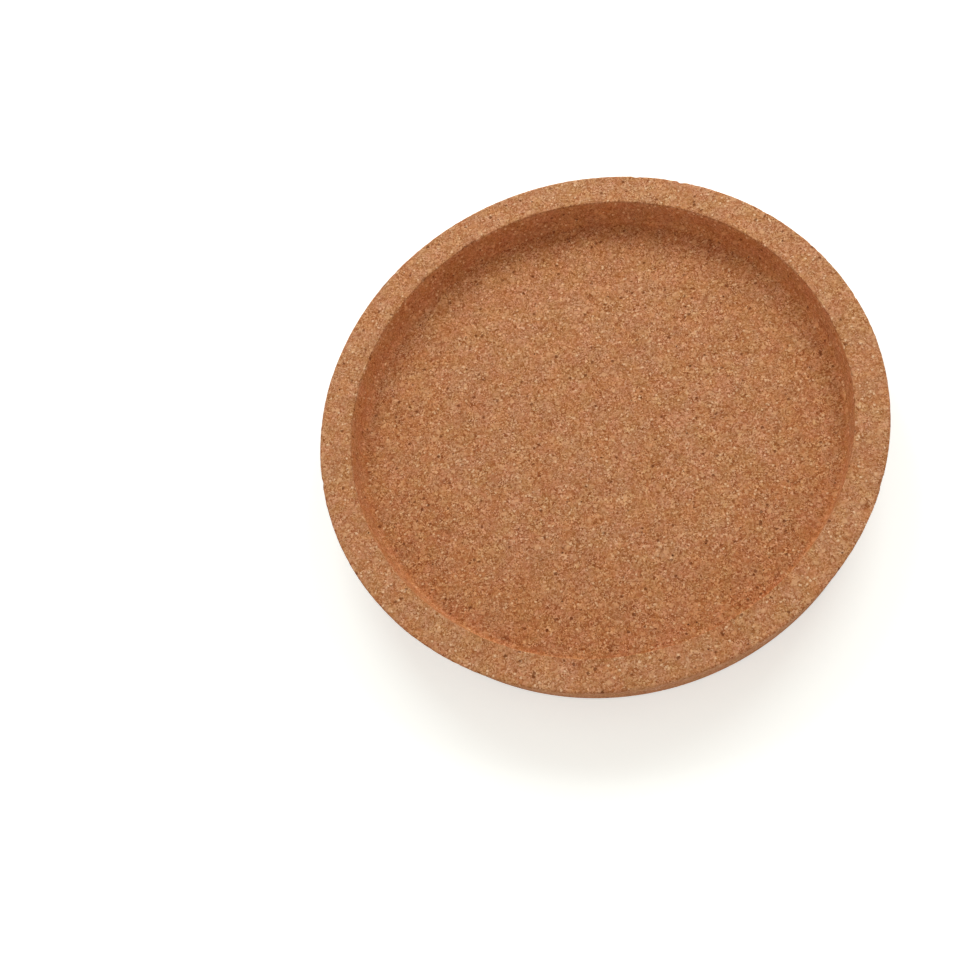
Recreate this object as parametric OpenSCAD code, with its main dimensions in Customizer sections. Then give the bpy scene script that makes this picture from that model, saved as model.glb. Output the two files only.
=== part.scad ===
// Round drink coaster, shaped in one piece from fine-grained agglomerated cork.
// A raised rim stands round a shallow recess that takes the foot of a glass.
// Sizes are in millimetres. +Z is up, and the origin is the middle of the flat
// underside, which rests on the table.

/* [Plan] */
// Diameter over the rim, the widest part
top_d = 100; // [80:1:140]
// Width of the rim's top, from its outer edge to its inner edge
rim_w = 5.9; // [4:0.1:12]

/* [Heights] */
// Thickness of the floor under the recess
floor_t = 5; // [3:0.1:12]
// Depth of the recess, from the rim's top to the floor
recess_depth = 5; // [4:0.1:10]

/* [Slopes] */
// Lean of the outer side, in degrees: the base is narrower than the rim
side_draft = 11; // [0:0.5:25]
// Lean of the recess wall, in degrees: the floor is narrower than the mouth
wall_draft = 11; // [0:0.5:25]

/* [Rounded edges] */
// Radius of the rim's outer edge, which is almost crisp
outer_edge_r = 0.4; // [0.1:0.05:1]
// Radius of the rim's inner edge, which is just broken where the glass goes in
inner_edge_r = 0.15; // [0.1:0.05:1.6]
// Radius of the edge round the underside
base_edge_r = 0.6; // [0.1:0.05:1.5]
// Radius of the hollow corner where the recess wall meets the floor
foot_r = 0.6; // [0.2:0.05:2]

/* [Hidden] */

// Facets of a full circle, in plan and in the small round edges
plan_fn = 240;
edge_fn = 64;

height = floor_t + recess_depth;
top_r = top_d / 2;
mouth_r = top_r - rim_w;
floor_r = mouth_r - recess_depth * tan(wall_draft);

// The angle between the rim's flat top and the leaning outer side
outer_edge_angle = 90 - side_draft;
// The sharp outer corner lies a little outside the rim's full radius, so that
// the round edge drawn in it just reaches that radius
outer_corner_r = top_r + outer_edge_r * (1 / tan(outer_edge_angle / 2) - 1);
base_r = outer_corner_r - height * tan(side_draft);

// The half section's sharp corners, from the axis round the outside to the floor
base_mid = [0, 0];
base_corner = [base_r, 0];
outer_corner = [outer_corner_r, height];
inner_corner = [mouth_r, height];
foot_corner = [floor_r, floor_t];
floor_mid = [0, floor_t];

// Direction from one point to another, as a vector of length 1
function toward(from, to) = (to - from) / norm(to - from);

// Half the angle that the lines to a and c make at a corner
function half_angle(a, corner, c) = acos(toward(corner, a) * toward(corner, c)) / 2;

// Where a round edge of radius r leaves the line from the corner to a
function edge_end(a, corner, c, r) =
    corner + toward(corner, a) * r / tan(half_angle(a, corner, c));

// Both ends of a round edge, in the order of the outline
function edge_ends(a, corner, c, r) =
    [edge_end(a, corner, c, r), edge_end(c, corner, a, r)];

// Centre of a round edge, on the line that halves the corner's angle
function edge_centre(a, corner, c, r) =
    corner + toward([0, 0], toward(corner, a) + toward(corner, c)) * r / sin(half_angle(a, corner, c));

// The disc that touches both lines of a corner and gives it its round edge
module edge_disc(a, corner, c, r) {
    translate(edge_centre(a, corner, c, r))
        circle(r = r, $fn = edge_fn);
}

// The half section: straight lines between the ends of the round edges, a disc
// added at each outer edge, and one taken away in the hollow corner
module half_section() {
    difference() {
        union() {
            polygon(concat(
                [base_mid],
                edge_ends(base_mid, base_corner, outer_corner, base_edge_r),
                edge_ends(base_corner, outer_corner, inner_corner, outer_edge_r),
                edge_ends(outer_corner, inner_corner, foot_corner, inner_edge_r),
                edge_ends(inner_corner, foot_corner, floor_mid, foot_r),
                [floor_mid]
            ));
            edge_disc(base_mid, base_corner, outer_corner, base_edge_r);
            edge_disc(base_corner, outer_corner, inner_corner, outer_edge_r);
            edge_disc(outer_corner, inner_corner, foot_corner, inner_edge_r);
        }
        edge_disc(inner_corner, foot_corner, floor_mid, foot_r);
    }
}

// The whole coaster: floor, rim and side are one piece of cork with no joint
module cork_coaster() {
    color("peru")
        rotate_extrude($fn = plan_fn)
            half_section();
}

cork_coaster();
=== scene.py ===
# %% [markdown]
# # A cork drink coaster
# The object is one round piece of agglomerated cork: small granules of bark, pressed
# together with a binder, and then cut to a shallow tray. It has a flat underside, a side
# that leans in towards it, a flat rim, and a recess whose wall meets the floor in a small
# hollow corner, the foot.
#
# The CAD model gives the true solid. This file gives it a surface: a fine net of faces
# with the small pits that cork has and crumbled edges, and a material built from granules.
# First the frame is loaded, and its box is kept for the sizes.

# %% The frame
import bmesh
import bpy
import math
import random
from mathutils import Matrix, Vector
from mathutils.kdtree import KDTree


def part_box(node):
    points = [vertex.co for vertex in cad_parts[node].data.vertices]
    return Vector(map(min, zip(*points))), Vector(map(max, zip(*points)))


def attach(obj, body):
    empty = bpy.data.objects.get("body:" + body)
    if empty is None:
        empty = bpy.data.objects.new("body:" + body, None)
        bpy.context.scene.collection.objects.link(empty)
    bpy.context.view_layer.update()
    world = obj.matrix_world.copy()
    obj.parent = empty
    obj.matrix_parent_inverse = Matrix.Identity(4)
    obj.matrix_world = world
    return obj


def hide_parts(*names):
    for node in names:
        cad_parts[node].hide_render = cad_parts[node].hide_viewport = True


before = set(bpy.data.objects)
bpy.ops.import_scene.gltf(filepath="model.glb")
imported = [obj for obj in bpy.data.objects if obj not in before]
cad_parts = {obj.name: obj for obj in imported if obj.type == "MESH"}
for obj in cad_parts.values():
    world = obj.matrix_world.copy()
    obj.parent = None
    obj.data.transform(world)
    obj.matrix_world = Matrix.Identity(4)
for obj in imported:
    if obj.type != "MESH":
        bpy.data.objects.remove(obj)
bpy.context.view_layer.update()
MM = 0.001
low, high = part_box("cork_coaster")
print("CAD box in mm:", [round(v / MM, 2) for v in (*low, *high)])

# %% [markdown]
# ## Sizes
# The rim's diameter and the height come from the CAD solid's own box, so this model can't
# drift from it. The rest are the sizes of a coaster's section: the rim's width, the depth
# of the recess, the lean of both slopes, and the radius of each round edge.

# %% Sizes of the section
RIM_R = high.x
HEIGHT = high.z
RIM_W = 5.9 * MM
FLOOR_Z = 5.0 * MM
LEAN = math.radians(11)
OUTER_EDGE_R = 0.4 * MM
INNER_EDGE_R = 0.15 * MM
BASE_EDGE_R = 0.6 * MM
FOOT_R = 0.6 * MM

# A steep face meets a flat one at this angle on the sharp edge, and at its
# supplement on the blunt edge and in the foot of the recess.
SHARP = math.pi / 2 - LEAN
BLUNT = math.pi - SHARP


def set_back(radius, angle):
    """How far from a sharp corner its round edge starts."""
    return radius / math.tan(angle / 2)


mouth_r = RIM_R - RIM_W
foot_r = mouth_r - (HEIGHT - FLOOR_Z) * math.tan(LEAN)
outer_r = RIM_R + set_back(OUTER_EDGE_R, SHARP) - OUTER_EDGE_R
base_r = outer_r - HEIGHT * math.tan(LEAN)
print("corner radii in mm:", [round(r / MM, 2) for r in (foot_r, mouth_r, outer_r, base_r)])

# %% [markdown]
# ## The blank
# A turned shape like this could be spun from a half section. A spin leaves a pole in the
# middle of the recess, where long thin faces meet and relief looks pinched. A grid fill
# is better: the edge of a circle is filled with square faces of even size, and the rest
# of the coaster grows from that edge ring by ring.

# %% Floor of the recess
ROUND = 840
SHOULDER = 0.4 * MM


def edit(piece):
    """Open one piece in edit mode with nothing else selected."""
    bpy.ops.object.select_all(action="DESELECT")
    bpy.context.view_layer.objects.active = piece
    piece.select_set(True)
    bpy.ops.object.mode_set(mode="EDIT")


flat_r = foot_r - set_back(FOOT_R, BLUNT) - SHOULDER
bpy.ops.object.select_all(action="DESELECT")
bpy.ops.mesh.primitive_circle_add(vertices=ROUND, radius=flat_r, location=(0, 0, FLOOR_Z))
coaster = bpy.context.object
coaster.name = "coaster_cork"
bpy.ops.object.transform_apply(location=True)
edit(coaster)
bpy.ops.mesh.select_all(action="SELECT")
bpy.ops.mesh.fill_grid(span=ROUND // 4)
bpy.ops.object.mode_set(mode="OBJECT")
print("faces in the floor:", len(coaster.data.polygons))

# %% Foot, wall, rim, side and underside
rings = [
    (foot_r, FLOOR_Z),
    (mouth_r, HEIGHT),
    (outer_r, HEIGHT),
    (base_r, 0.0),
    (base_r - set_back(BASE_EDGE_R, BLUNT) - SHOULDER, 0.0),
]
edit(coaster)
ring_r, ring_z = flat_r, FLOOR_Z
for next_r, next_z in rings:
    bpy.ops.mesh.select_mode(type="EDGE")
    bpy.ops.mesh.select_non_manifold()
    bpy.ops.mesh.extrude_region_move()
    grow = next_r / ring_r
    bpy.ops.transform.resize(value=(grow, grow, 1), center_override=(0, 0, 0))
    bpy.ops.transform.translate(value=(0, 0, next_z - ring_z))
    ring_r, ring_z = next_r, next_z
bpy.ops.mesh.select_non_manifold()
bpy.ops.mesh.edge_face_add()
bpy.ops.mesh.select_all(action="SELECT")
bpy.ops.mesh.normals_make_consistent(inside=False)
bpy.ops.object.mode_set(mode="OBJECT")
print("faces in the blank:", len(coaster.data.polygons))

# %% [markdown]
# ## Round edges
# The rim's outer edge is almost crisp, and its inner edge is just broken where a glass
# goes in. The edge round the underside and the hollow foot of the wall are a little
# rounder. A bevel on each ring of edges gives all four. Its width is the set-back from the
# corner, so each one gets its true radius.


# %% Bevel the four rings
def on_ring(point, radius, height):
    """True if a point lies on the ring of that radius and height."""
    near = 0.02 * MM
    off_radius = abs(math.hypot(point.x, point.y) - radius)
    return off_radius < near and abs(point.z - height) < near


def pick_edges(piece, test):
    """Select the edges whose two ends pass the test. Works in edit mode."""
    bpy.ops.mesh.select_mode(type="EDGE")
    bpy.ops.mesh.select_all(action="DESELECT")
    net = bmesh.from_edit_mesh(piece.data)
    chosen = [e for e in net.edges if test(e.verts[0].co, e.verts[1].co)]
    for e in chosen:
        e.select_set(True)
    bmesh.update_edit_mesh(piece.data)
    return len(chosen)


# The name, place and radius of each ring's round edge, its angle, and the faces across it
round_edges = [
    ("foot", foot_r, FLOOR_Z, FOOT_R, BLUNT, 6),
    ("inner edge", mouth_r, HEIGHT, INNER_EDGE_R, BLUNT, 5),
    ("outer edge", outer_r, HEIGHT, OUTER_EDGE_R, SHARP, 4),
    ("base edge", base_r, 0.0, BASE_EDGE_R, BLUNT, 3),
]
edit(coaster)
for name, radius, height, edge_r, angle, segments in round_edges:
    count = pick_edges(
        coaster,
        lambda a, b: on_ring(a, radius, height) and on_ring(b, radius, height),
    )
    bpy.ops.mesh.bevel(offset=set_back(edge_r, angle), segments=segments, affect="EDGES")
    print("rounded the", name, "on", count, "edges")
bpy.ops.object.mode_set(mode="OBJECT")

# %% [markdown]
# ## An even net
# The relief of cork needs small faces everywhere on the worked surface. The wall, the rim
# and the side are still one long face wide, so the edges that cross each of them are
# divided. The cuts are as far apart as the edges of the floor's grid.

# %% Divide the long faces
FACE = 0.38 * MM
SIDE_FACE = 0.5 * MM
SLACK = 0.1 * MM


def crosses(a, b, low_z, high_z, low_r, high_r):
    """True if the edge from a to b runs across a band, and not along it."""
    ra, rb = math.hypot(a.x, a.y), math.hypot(b.x, b.y)
    inside = low_r < min(ra, rb) and max(ra, rb) < high_r
    inside = inside and low_z < min(a.z, b.z) and max(a.z, b.z) < high_z
    return inside and (b - a).length > 2 * FACE


# Each band's name, the size of its new faces, and its lowest and highest point and radius
bands = [
    ("wall", FACE, FLOOR_Z, HEIGHT, flat_r, mouth_r + INNER_EDGE_R),
    ("rim", FACE, HEIGHT - SLACK, HEIGHT + SLACK, mouth_r, outer_r),
    ("side", SIDE_FACE, 0.0, HEIGHT, base_r - BASE_EDGE_R, outer_r + SLACK),
]
edit(coaster)
for name, face, low_z, high_z, low_r, high_r in bands:
    count = pick_edges(coaster, lambda a, b: crosses(a, b, low_z, high_z, low_r, high_r))
    net = bmesh.from_edit_mesh(coaster.data)
    length = max(e.calc_length() for e in net.edges if e.select)
    cuts = round(length / face) - 1
    bpy.ops.mesh.subdivide_edgering(number_cuts=cuts, interpolation="LINEAR")
    print(name, "is", round(length / MM, 2), "mm wide:", cuts, "cuts in", count, "edges")
bpy.ops.object.mode_set(mode="OBJECT")


def print_box(piece):
    """Print a piece's lowest and highest corner in millimetres."""
    corners = (*piece.bound_box[0], *piece.bound_box[6])
    print("box in mm:", [round(v / MM, 3) for v in corners])


print("faces:", len(coaster.data.polygons))
print_box(coaster)

# %% [markdown]
# ## Relief
# Cork is cut, not cast. The cut face waves a little, every granule stands a little proud of
# its neighbours or sinks below them, and here and there one is torn out. Along the two edges
# of the rim the blade breaks crumbs away, so that neither edge is a clean line.
# Displace modifiers give that relief. Each one only pushes inwards, so the surface never
# leaves the CAD solid, and the underside keeps out of it, because the coaster rests there.

# %% Which points may move
SEED = 7

random.seed(SEED)
rest = [v.co.copy() for v in coaster.data.vertices]
worked = coaster.vertex_groups.new(name="worked")
free = [i for i, point in enumerate(rest) if point.z > BASE_EDGE_R]
worked.add(free, 1.0, "REPLACE")
finder = KDTree(len(rest))
for i, point in enumerate(rest):
    finder.insert(point, i)
finder.balance()
print("points that may move:", len(free), "of", len(rest))


# %% Torn-out granules and crumbs
PITS = 160
PIT_SIZES = (0.45 * MM, 0.9 * MM)
INNER_CRUMBS = 110
OUTER_CRUMBS = 30
CRUMB_SIZES = (0.2 * MM, 0.45 * MM)
SQUASH = (0.7, 1.3)
FULLNESS = (0.4, 1.0)


def hollows(name, middles, small, large):
    """A vertex group of round hollows, each with a size between small and large."""
    group = coaster.vertex_groups.new(name=name)
    depth = {}
    for middle in middles:
        reach = random.uniform(small, large)
        squash = Vector([random.uniform(*SQUASH) for axis in range(3)])
        full = random.uniform(*FULLNESS)
        widest = reach / SQUASH[0]
        for point, i, gap in finder.find_range(middle, widest):
            away = Vector([p * q for p, q in zip(point - middle, squash)]).length / reach
            if away < 1 and point.z > BASE_EDGE_R:
                depth[i] = max(depth.get(i, 0), full * (1 - away ** 2))
    for i, weight in depth.items():
        group.add([i], weight, "REPLACE")
    return depth


# The radius and height of each crumbled edge, and how many crumbs it lost
crumbled = (
    (mouth_r, HEIGHT - 0.05 * MM, INNER_CRUMBS),
    (RIM_R, HEIGHT - 0.2 * MM, OUTER_CRUMBS),
)
crumb_spots = []
for radius, z, count in crumbled:
    for spot in range(count):
        angle = random.uniform(0, math.tau)
        crumb_spots.append(Vector((radius * math.cos(angle), radius * math.sin(angle), z)))
pit_spots = [rest[i] for i in random.sample(free, PITS)]
pit_depth = hollows("pits", pit_spots, *PIT_SIZES)
crumb_depth = hollows("crumbs", crumb_spots, *CRUMB_SIZES)
print("points in pits:", len(pit_depth), "in crumbs:", len(crumb_depth))


# %% Push the surface in
def carve(name, depth, group, kind="", size=1.0):
    """Push the group's points inwards by a depth, or by a texture's share of that depth."""
    bpy.ops.object.modifier_add(type="DISPLACE")
    push = coaster.modifiers[-1]
    push.name = name
    push.vertex_group = group
    push.mid_level = 0.0
    push.strength = -depth
    if kind:
        push.texture = bpy.data.textures.new(name, kind)
        push.texture.noise_scale = size
        push.texture_coords = "LOCAL"
    bpy.ops.object.modifier_apply(modifier=push.name)


bpy.ops.object.select_all(action="DESELECT")
coaster.select_set(True)
bpy.context.view_layer.objects.active = coaster
carve("swell", depth=0.10 * MM, group="worked", kind="CLOUDS", size=9.0 * MM)
carve("granules", depth=0.07 * MM, group="worked", kind="VORONOI", size=1.0 * MM)
carve("torn granules", depth=0.28 * MM, group="pits")
carve("crumbs", depth=0.11 * MM, group="crumbs")

# The material is told where granules were torn out, so that it can darken those hollows:
# painted shade, and the raw cork inside.
torn_out = coaster.data.attributes.new("torn_out", "FLOAT", "POINT")
torn_out.data.foreach_set("value", [pit_depth.get(i, 0) for i in range(len(rest))])
print_box(coaster)

# %% [markdown]
# ## Cork, the material
# Agglomerated cork is bark ground to granules, pressed with a binder and sliced. On the cut
# face each granule shows its own shade. Most are 0.2 to 0.4 mm across, a few are pale lumps
# over a millimetre, and here and there sits a dark bit of outer bark or a bright fleck.
# The material is built the same way: cells of each size, shuffled together. It is laid out
# in millimetres on the object's own coordinates, so that it runs through the solid.

# %% Small tools for the material
cork = bpy.data.materials.new("cork")
cork.use_nodes = True
cork.node_tree.nodes.clear()


def place(kind, **settings):
    """Add a shader node to the cork."""
    made = cork.node_tree.nodes.new("ShaderNode" + kind)
    for key, value in settings.items():
        setattr(made, key, value)
    return made


def feed(socket, value):
    """Give a socket a number, a colour, or the output of another node."""
    if isinstance(value, bpy.types.NodeSocket):
        cork.node_tree.links.new(value, socket)
    else:
        socket.default_value = value


def calc(operation, a, b=0.0, c=0.0):
    """One step of arithmetic."""
    made = place("Math", operation=operation)
    for socket, value in zip(made.inputs, (a, b, c)):
        feed(socket, value)
    return made.outputs[0]


def shift(place_in_cork, step):
    """Move a point, or add a vector to it."""
    made = place("VectorMath", operation="ADD")
    feed(made.inputs[0], place_in_cork)
    feed(made.inputs[1], step)
    return made.outputs[0]


def stretch(vector, factors):
    """Scale a vector by a factor for each axis."""
    made = place("VectorMath", operation="MULTIPLY")
    feed(made.inputs[0], vector)
    feed(made.inputs[1], factors)
    return made.outputs[0]


def ease(value, start, end):
    """0 at start, 1 at end, and smooth between the two. The start may be the larger."""
    made = place("MapRange", interpolation_type="SMOOTHSTEP")
    feed(made.inputs["Value"], value)
    feed(made.inputs["From Min"], start)
    feed(made.inputs["From Max"], end)
    return made.outputs["Result"]


def cloud(point, size, detail=2.0):
    """Soft noise whose blots are about size millimetres across."""
    made = place("TexNoise")
    feed(made.inputs["Vector"], point)
    made.inputs["Scale"].default_value = 1.0 / size
    made.inputs["Detail"].default_value = detail
    made.inputs["Roughness"].default_value = 0.55
    return made


def granules(point, size):
    """Cells of a size: three random numbers for each, and the distance to its middle."""
    made = place("TexVoronoi")
    feed(made.inputs["Vector"], point)
    made.inputs["Scale"].default_value = 1.0 / size
    # A cell's own colour is tied to where its middle lies, so other numbers are drawn for it.
    drawn = place("TexWhiteNoise")
    feed(drawn.inputs["Vector"], made.outputs["Position"])
    parts = place("SeparateColor")
    feed(parts.inputs[0], drawn.outputs["Color"])
    return parts.outputs[0], parts.outputs[1], parts.outputs[2], made.outputs["Distance"]


def mix(amount, a, b):
    """Blend two numbers."""
    made = place("Mix", data_type="FLOAT")
    feed(made.inputs[0], amount)
    feed(made.inputs[2], a)
    feed(made.inputs[3], b)
    return made.outputs[0]


def tint(amount, a, b, blend="MIX"):
    """Blend two colours."""
    made = place("Mix", data_type="RGBA", blend_type=blend)
    feed(made.inputs["Factor"], amount)
    feed(made.inputs["A"], a)
    feed(made.inputs["B"], b)
    return made.outputs["Result"]


print("tools ready")

# %% Granules
DUST = 0.12
CRUMB = 0.20
GRAIN = 0.36
GRAIN_SHARE = 0.30
TEAR = 0.2
TEAR_DEPTH = 0.17
JAG = 0.45
JAG_DEPTH = 0.35


def shaken(start, size, depth):
    """Points moved about by a cloud, so that what is drawn there gets ragged outlines."""
    wander = shift(cloud(point, size).outputs["Color"], (-0.5, -0.5, -0.5))
    return shift(start, stretch(wander, (depth, depth, depth)))


point = stretch(place("TexCoord").outputs["Object"], (1 / MM, 1 / MM, 1 / MM))
torn = shaken(point, TEAR, TEAR_DEPTH)
ragged = shaken(torn, JAG, JAG_DEPTH)
dust = cloud(point, DUST, 1.0).outputs["Fac"]
crumb_shade, crumb_hue, crumb_pick = granules(torn, CRUMB)[:3]
grain_shade, grain_hue, grain_pick = granules(torn, GRAIN)[:3]
is_grain = ease(grain_pick, 1 - GRAIN_SHARE, 1 - GRAIN_SHARE + 0.02)
shade = mix(is_grain, crumb_shade, grain_shade)
hue = mix(is_grain, crumb_hue, grain_hue)
greyness = mix(is_grain, crumb_pick, ease(grain_pick, 1 - GRAIN_SHARE, 1.0))
print("granules of", CRUMB, "and", GRAIN, "mm")

# %% [markdown]
# ## Places with a finish or a painted shade of their own
# The rim's top and the outer side are sanded, and the wall of the recess is rubbed smooth by
# the side of the cutter. The granules show a little less there than on the recess floor.
# The side also carries a painted sheen, the wall a painted colour of the shade in the recess,
# the floor a painted shade towards the foot of the wall, and the inner edge of the rim a
# painted shade in patches, which dims its highlight.
# These places are told apart by their distance from the axis and by their height.

# %% Rim, side, wall and edge
RIM_SMOOTHED = 0.14
SIDE_SMOOTHED = 0.26
WALL_SMOOTHED = 0.30
FOOT_SHADE_FROM = 24.0
EDGE_PATCH = 0.8


def overlap(first, *others):
    """Where one mask and all the others are on."""
    for other in others:
        first = calc("MULTIPLY", first, other)
    return first


across = place("VectorMath", operation="LENGTH")
feed(across.inputs[0], stretch(point, (1.0, 1.0, 0.0)))
from_axis = across.outputs["Value"]
xyz = place("SeparateXYZ")
feed(xyz.inputs[0], point)
above_table = xyz.outputs["Z"]
mouth = mouth_r / MM
rim_height = HEIGHT / MM

# Radii and heights are in millimetres here, like all lengths in the material.
beyond_mouth = ease(from_axis, mouth - 0.2, mouth + 0.1)
near_top = ease(above_table, rim_height - 0.6, rim_height - 0.3)
rim_top = overlap(beyond_mouth, near_top)
# The side: its granules are calmer, and it carries a painted sheen.
side = overlap(beyond_mouth, ease(above_table, 0.0, 0.3), calc("SUBTRACT", 1.0, near_top))
# The cutter's corner also rubs the last millimetre of the floor, and the wall's painted shade
# colour reaches over it too.
foot = foot_r / MM
in_recess = ease(above_table, FLOOR_Z / MM - 1.0, FLOOR_Z / MM - 0.5)
wall = overlap(
    ease(from_axis, foot - 1.2, foot - 0.2),
    ease(from_axis, mouth + 0.5, mouth + 0.1),
    in_recess,
    ease(above_table, rim_height - 0.25, rim_height - 0.55),
)
# Painted shade: the floor turns browner towards the foot of the wall, from 24 mm off the axis.
shade_along_foot = overlap(
    ease(from_axis, FOOT_SHADE_FROM, foot - 1.6),
    ease(from_axis, foot, foot - 1.0),
    in_recess,
)
# Painted shade on the rim's inner edge, in patches: it dims the highlight that the lamps put on
# the round edge.
edge_patches = cloud(shift(point, (2.0, 13.0, 29.0)), EDGE_PATCH).outputs["Fac"]
edge_shade = overlap(
    ease(from_axis, mouth - 0.3, mouth),
    ease(from_axis, mouth + 0.7, mouth + 0.4),
    ease(above_table, rim_height - 0.8, rim_height - 0.4),
    ease(edge_patches, 0.40, 0.60),
)
smoothed = calc("MULTIPLY", rim_top, RIM_SMOOTHED)
smoothed = calc("MULTIPLY_ADD", side, SIDE_SMOOTHED, smoothed)
smoothed = calc("MULTIPLY_ADD", wall, WALL_SMOOTHED, smoothed)
print("the mouth is at", round(mouth, 2), "mm from the axis")

# %% [markdown]
# ## Shade and hue
# A slice of this cork has no single colour. Each granule has its own shade, dust from the
# grinding lies between them, and the sheet is mottled, because granules from many slabs of
# bark are mixed for it. A picture of cork could be laid on, but it would repeat, and smear
# on the wall. Here the shade is a number, summed up from granule, dust and mottle, and a
# ramp of five colours turns it into a colour. Then granules and whole patches get a hue of
# their own.

# %% Shade
MIDDLE = 0.51
GRAIN_CONTRAST = 0.95
DUST_CONTRAST = 0.37
MOTTLE = 1.6
MOTTLE_CONTRAST = 0.18
BLOTCH = 7.0
BLOTCH_CONTRAST = 0.15
ALIKE = 1.5
CALM = 0.60

mottle = cloud(point, MOTTLE, 3.0).outputs["Fac"]
blotch = cloud(shift(point, (31.0, 7.0, 3.0)), BLOTCH).outputs["Fac"]
# In places the granules are all alike, as if cut from one piece of bark.
alike = cloud(shift(point, (5.0, 17.0, 9.0)), ALIKE).outputs["Fac"]
calm = mix(ease(alike, 0.35, 0.65), CALM, 1.0)
calm = calc("MULTIPLY", calm, calc("SUBTRACT", 1.0, smoothed))
spread = calc("MULTIPLY", calc("SUBTRACT", shade, 0.5), calm)
level = calc("MULTIPLY_ADD", spread, GRAIN_CONTRAST, MIDDLE)
contrasts = ((dust, DUST_CONTRAST), (mottle, MOTTLE_CONTRAST), (blotch, BLOTCH_CONTRAST))
for part, contrast in contrasts:
    level = calc("MULTIPLY_ADD", calc("SUBTRACT", part, 0.5), contrast, level)


def srgb(*levels):
    """A colour given as it looks on a screen, 0 to 255, as the linear one that nodes use."""
    return (*[((v / 255 + 0.055) / 1.055) ** 2.4 for v in levels], 1.0)


SHADES = (
    (0.00, srgb(131, 70, 37)),
    (0.25, srgb(162, 101, 61)),
    (0.50, srgb(183, 125, 85)),
    (0.75, srgb(204, 149, 110)),
    (1.00, srgb(229, 184, 146)),
)
ramp = place("ValToRGB")
feed(ramp.inputs[0], level)
ramp.color_ramp.elements[0].color = SHADES[0][1]
ramp.color_ramp.elements[1].color = SHADES[-1][1]
for stop, colour in SHADES[1:-1]:
    ramp.color_ramp.elements.new(stop).color = colour
colour = ramp.outputs[0]

# Some granules lean to brick red and some to straw, some are tawny and some grey. So are
# whole patches, a few millimetres wide.
BRICK = (1.06, 0.97, 0.96, 1.0)
STRAW = (0.97, 1.04, 1.02, 1.0)
TAWNY = (1.0, 1.0, 0.87, 1.0)
GREY = (0.99, 1.0, 1.14, 1.0)
PATCH = 3.5
PATCH_SHARE = 0.55
leanings = (
    (hue, BRICK, STRAW, (3.0, 57.0, 13.0)),
    (greyness, TAWNY, GREY, (41.0, 8.0, 22.0)),
)
for own, look, other, steps in leanings:
    patch = ease(cloud(shift(point, steps), PATCH, 3.0).outputs["Fac"], 0.36, 0.64)
    lean = mix(PATCH_SHARE, ease(own, 0.05, 0.95), patch)
    colour = tint(1.0, colour, tint(lean, look, other), "MULTIPLY")
print("shades:", len(SHADES), "and leanings:", len(leanings))


# %% [markdown]
# ## Lumps, slivers, flecks and bark
# Among the even granules lie a few bits that catch the eye: pale lumps, slivers cut along
# the grain, bright flecks, dark bits of outer bark, and pores. They could be modelled one
# by one, but there are thousands. One helper scatters each kind instead: it lays out cells,
# keeps a share of them, and draws a ragged blob in the middle of each.

# %% Scatter the bits
BLOB_CORE = 0.6


def bits(step, size, share, reach, squash=(1.0, 1.0, 1.0)):
    """Scattered bits: a share of the cells, each drawn as a blob round its middle.

    The step moves the cells, so that no two kinds lie in the same places. Returns where
    the blobs are, and a random number for each.
    """
    spot = stretch(shift(ragged, step), squash)
    number, spare, pick, from_middle = granules(spot, size)
    blob = ease(from_middle, reach, reach * BLOB_CORE)
    return calc("MULTIPLY", ease(pick, 1 - share, 1 - share + 0.01), blob), number


PALE = srgb(222, 170, 128)
BRIGHT = srgb(238, 198, 160)
DARK = srgb(113, 57, 23)
BLACK = srgb(78, 34, 12)

lump, lump_number = bits((3.1, 7.7, 1.3), size=1.1, share=0.15, reach=0.50)
lump_cover = calc("MULTIPLY", lump, calc("MULTIPLY_ADD", lump_number, 0.45, 0.25))
sliver_form = {"size": 0.9, "share": 0.14, "reach": 0.42}
sliver = calc(
    "MAXIMUM",
    bits((1.2, 4.1, 8.3), squash=(1.0, 2.4, 1.5), **sliver_form)[0],
    bits((6.2, 2.4, 4.4), squash=(2.4, 1.0, 1.5), **sliver_form)[0],
)
fleck = bits((11.0, 5.0, 2.0), size=0.6, share=0.09, reach=0.44)[0]
bark = bits((1.7, 2.9, 5.3), size=0.8, share=0.045, reach=0.42)[0]
pore = bits((8.3, 1.9, 6.1), size=1.3, share=0.07, reach=0.13)[0]
colour = tint(lump_cover, colour, PALE)
covers = ((sliver, 0.65, PALE), (fleck, 0.82, BRIGHT), (bark, 0.75, DARK), (pore, 0.9, BLACK))
for part, cover, look in covers:
    colour = tint(calc("MULTIPLY", part, cover), colour, look)

# Inside a torn-out granule the cork is a little darker and redder: painted shade in the
# hollow, and the raw cork there.
PIT_SHADE = (0.80, 0.70, 0.62, 1.0)
PIT_SHADE_COVER = 0.8
hollow = place("Attribute", attribute_name="torn_out").outputs["Fac"]
colour = tint(calc("MULTIPLY", hollow, PIT_SHADE_COVER), colour, PIT_SHADE, "MULTIPLY")
print("bits of five kinds on")

# %% Tints by place: painted shade and sheen, and a paler rim
# The rim's top is paler and yellower than the recess. The side is paler and greyer, a painted
# sheen with painted light from below. The wall is redder, the painted colour of the shade that
# bounces in the recess. The floor is browner along the foot, a painted shade, and the inner
# edge is darker in patches, a painted shade that dims its highlight.
# The rim's top is paler and yellower than the recess.
RIM_TOP_TINT = (1.045, 1.09, 1.125, 1.0)
# Painted sheen, with painted light from below: the side is paler and greyer.
SIDE_SHEEN = (1.11, 1.22, 1.36, 1.0)
# Painted shade colour: the wall is redder, like the shade that bounces in the recess.
WALL_SHADE_TINT = (1.06, 0.96, 0.86, 1.0)
# Painted shade on the inner edge, dimming its highlight.
EDGE_SHADE = (0.94, 0.92, 0.88, 1.0)
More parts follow.
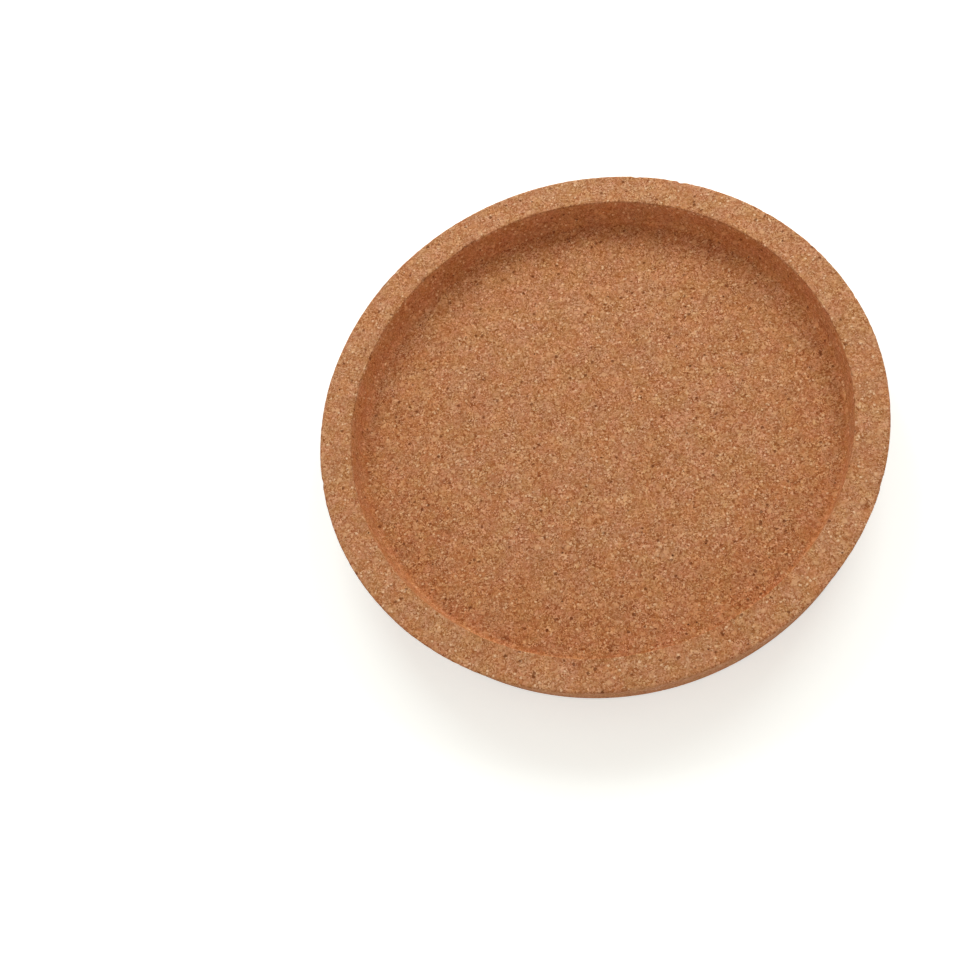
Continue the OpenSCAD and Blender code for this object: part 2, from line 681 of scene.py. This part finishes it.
# Painted shade along the foot of the wall.
FOOT_SHADE = (1.0, 0.955, 0.89, 1.0)
tints_by_place = (
    (rim_top, RIM_TOP_TINT),
    (side, SIDE_SHEEN),
    (wall, WALL_SHADE_TINT),
    (edge_shade, EDGE_SHADE),
    (shade_along_foot, FOOT_SHADE),
)
for amount, look in tints_by_place:
    colour = tint(amount, colour, tint(1.0, colour, look, "MULTIPLY"))
print("places with a finish of their own:", len(tints_by_place))

# %% [markdown]
# ## The skin
# Cut cork is matt, and its granules stand out by a few hundredths of a millimetre. The net's
# faces are too large to carry that, so bump does, from the same numbers as the colour: dark
# bark and pores lie lower, slivers and flecks a little higher. There is almost no gloss.

# %% Fine relief and surface
# How far each part stands out of the surface, in millimetres. Bark and pores lie lower.
rises = (
    (dust, 0.03),
    (lump, 0.04),
    (sliver, 0.05),
    (fleck, 0.05),
    (bark, -0.10),
    (pore, -0.2),
)
stands = calc("MULTIPLY", shade, 0.05)
for part, rise in rises:
    stands = calc("MULTIPLY_ADD", part, rise, stands)
bump = place("Bump")
feed(bump.inputs["Height"], stands)
bump.inputs["Distance"].default_value = MM
skin = place("BsdfPrincipled")
feed(skin.inputs["Base Color"], colour)
feed(skin.inputs["Normal"], bump.outputs[0])
feed(skin.inputs["Roughness"], calc("MULTIPLY_ADD", shade, 0.1, 0.78))
skin.inputs["Specular IOR Level"].default_value = 0.1
feed(place("OutputMaterial").inputs["Surface"], skin.outputs[0])
print("nodes in the cork:", len(cork.node_tree.nodes))

# %% [markdown]
# ## In place of the plain solid
# The coaster takes the place of the plain CAD solid, which is hidden, and wears the cork. It is
# shaded smooth, because every round edge in it is already built from small faces.

# %% Put the coaster in place
bpy.ops.object.select_all(action="DESELECT")
coaster.select_set(True)
bpy.context.view_layer.objects.active = coaster
bpy.ops.object.shade_smooth()
coaster.data.materials.append(cork)
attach(coaster, "root")
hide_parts("cork_coaster")
print("dressed:", coaster.name)

# %% [markdown]
# ## The view
# The camera stands where the photograph was taken from. Its distance, tilt and roll and its
# focal length, given in pixels, are read off the two circles of the rim: how flat they look
# gives the tilt, and how much smaller the far side looks than the near side gives the distance.

# %% Camera
CAMERA_DISTANCE = 249.4 * MM
CAMERA_TILT = math.radians(27.2)
CAMERA_ROLL = math.radians(-16.27)
PICTURE = 960
FOCAL_PIXELS = 1421
RIM_MIDDLE_PIXEL = (594.0, 414.3)
SENSOR_MM = 36

back = Vector((0, -math.sin(CAMERA_TILT), math.cos(CAMERA_TILT)))
aim = back.to_track_quat("Z", "Y").to_matrix()
off = Vector((
    (RIM_MIDDLE_PIXEL[0] - PICTURE / 2) / FOCAL_PIXELS,
    (PICTURE / 2 - RIM_MIDDLE_PIXEL[1]) / FOCAL_PIXELS,
    -1,
))
turn = Vector((0, 0, -1)).rotation_difference(off).to_matrix()
roll = Matrix.Rotation(CAMERA_ROLL, 3, "Z")
bpy.ops.object.camera_add(location=Vector((0, 0, HEIGHT)) + back * CAMERA_DISTANCE)
camera = bpy.context.object
camera.rotation_mode = "QUATERNION"
camera.rotation_quaternion = (aim @ roll @ turn.inverted()).to_quaternion()
camera.data.sensor_width = SENSOR_MM
camera.data.lens = SENSOR_MM * FOCAL_PIXELS / PICTURE
camera.data.clip_start = 0.01
bpy.context.scene.camera = camera
print("camera, mm:", [round(v / MM, 1) for v in camera.location])

# %% [markdown]
# ## Table, world and lamps
# The coaster rests on a pale table. Two softboxes stand behind it, to the right and to the
# left, so that the rim shades the far part of the recess and leaves the near part open.
# A weak one on the left lights the right part of the wall, and a weak one in front lifts
# the near side. The rest of the light is a warm room.
# Camera rays see the room as white. The table is lifted towards white for them too, the more
# the farther it is from the coaster, so near the coaster it still shows the soft shadow.

# %% Table
TABLE_SIZE = 3
TABLE_GREY = 0.85
TABLE_LIFT = 0.5
LIFT_COLOUR = (0.84, 0.97, 1.0, 1.0)
SHADOW_REACH = 0.12
WHITE_FROM = 0.35

bpy.ops.mesh.primitive_plane_add(size=TABLE_SIZE)
table = bpy.context.object
table.name = "table"
paint = bpy.data.materials.new("table")
paint.use_nodes = True
matt = paint.node_tree.nodes["Principled BSDF"]
matt.inputs["Base Color"].default_value = (TABLE_GREY, TABLE_GREY, TABLE_GREY, 1.0)
matt.inputs["Roughness"].default_value = 0.9
matt.inputs["Specular IOR Level"].default_value = 0.2
matt.inputs["Emission Color"].default_value = LIFT_COLOUR
ray = paint.node_tree.nodes.new("ShaderNodeLightPath")
spot = paint.node_tree.nodes.new("ShaderNodeTexCoord")
away = paint.node_tree.nodes.new("ShaderNodeVectorMath")
away.operation = "LENGTH"
paint.node_tree.links.new(spot.outputs["Object"], away.inputs[0])
rise = paint.node_tree.nodes.new("ShaderNodeMapRange")
rise.interpolation_type = "SMOOTHSTEP"
rise.inputs["From Min"].default_value = SHADOW_REACH
rise.inputs["From Max"].default_value = WHITE_FROM
rise.inputs["To Min"].default_value = TABLE_LIFT
rise.inputs["To Max"].default_value = 1.0
paint.node_tree.links.new(away.outputs["Value"], rise.inputs["Value"])
lift = paint.node_tree.nodes.new("ShaderNodeMath")
lift.operation = "MULTIPLY"
paint.node_tree.links.new(ray.outputs["Is Camera Ray"], lift.inputs[0])
paint.node_tree.links.new(rise.outputs["Result"], lift.inputs[1])
paint.node_tree.links.new(lift.outputs[0], matt.inputs["Emission Strength"])
table.data.materials.append(paint)
print("table:", table.name)

# %% World
ROOM_COLOUR = (1.0, 0.795, 0.635, 1.0)
ROOM_STRENGTH = 0.53

room = bpy.data.worlds.new("room")
room.use_nodes = True
bpy.context.scene.world = room
tree = room.node_tree
tree.nodes["Background"].inputs["Color"].default_value = ROOM_COLOUR
tree.nodes["Background"].inputs["Strength"].default_value = ROOM_STRENGTH
white = tree.nodes.new("ShaderNodeBackground")
white.inputs["Color"].default_value = (1.0, 1.0, 1.0, 1.0)
ray = tree.nodes.new("ShaderNodeLightPath")
seen = ray.outputs["Is Camera Ray"]
for kind in ("Is Glossy Ray", "Is Transmission Ray"):
    either = tree.nodes.new("ShaderNodeMath")
    either.operation = "MAXIMUM"
    tree.links.new(seen, either.inputs[0])
    tree.links.new(ray.outputs[kind], either.inputs[1])
    seen = either.outputs[0]
choice = tree.nodes.new("ShaderNodeMixShader")
tree.links.new(seen, choice.inputs[0])
tree.links.new(tree.nodes["Background"].outputs[0], choice.inputs[1])
tree.links.new(white.outputs[0], choice.inputs[2])
tree.links.new(choice.outputs[0], tree.nodes["World Output"].inputs["Surface"])
print("room strength:", ROOM_STRENGTH)

# %% Lamps
LAMP_DISTANCE = 0.5
LAMP_COLOUR = (0.875, 0.985, 0.985)
# Name, compass angle and height angle in degrees, width and height in metres, watts
SOFTBOXES = (
    ("back right", 46, 33, 0.28, 0.2, 1.065),
    ("back left", 100, 33, 0.25, 0.2, 1.10),
    ("left", 150, 20, 0.2, 0.15, 0.12),
    ("front", 268, 18, 0.25, 0.15, 0.295),
)


def softbox(name, around, up, width, height, power):
    """A lamp that faces the coaster. It doesn't show in the picture itself."""
    around, up = math.radians(around), math.radians(up)
    flat = math.cos(up)
    outward = Vector((flat * math.cos(around), flat * math.sin(around), math.sin(up)))
    bpy.ops.object.light_add(type="AREA", location=outward * LAMP_DISTANCE)
    lamp = bpy.context.object
    lamp.name = name
    lamp.rotation_euler = outward.to_track_quat("Z", "Y").to_euler()
    lamp.data.shape = "RECTANGLE"
    lamp.data.size = width
    lamp.data.size_y = height
    lamp.data.energy = power
    lamp.data.color = LAMP_COLOUR
    lamp.visible_camera = False
    print(name, "at", [round(v, 2) for v in lamp.location])


for box in SOFTBOXES:
    softbox(*box)

# %% The last settings
bpy.context.scene.view_settings.view_transform = "Standard"
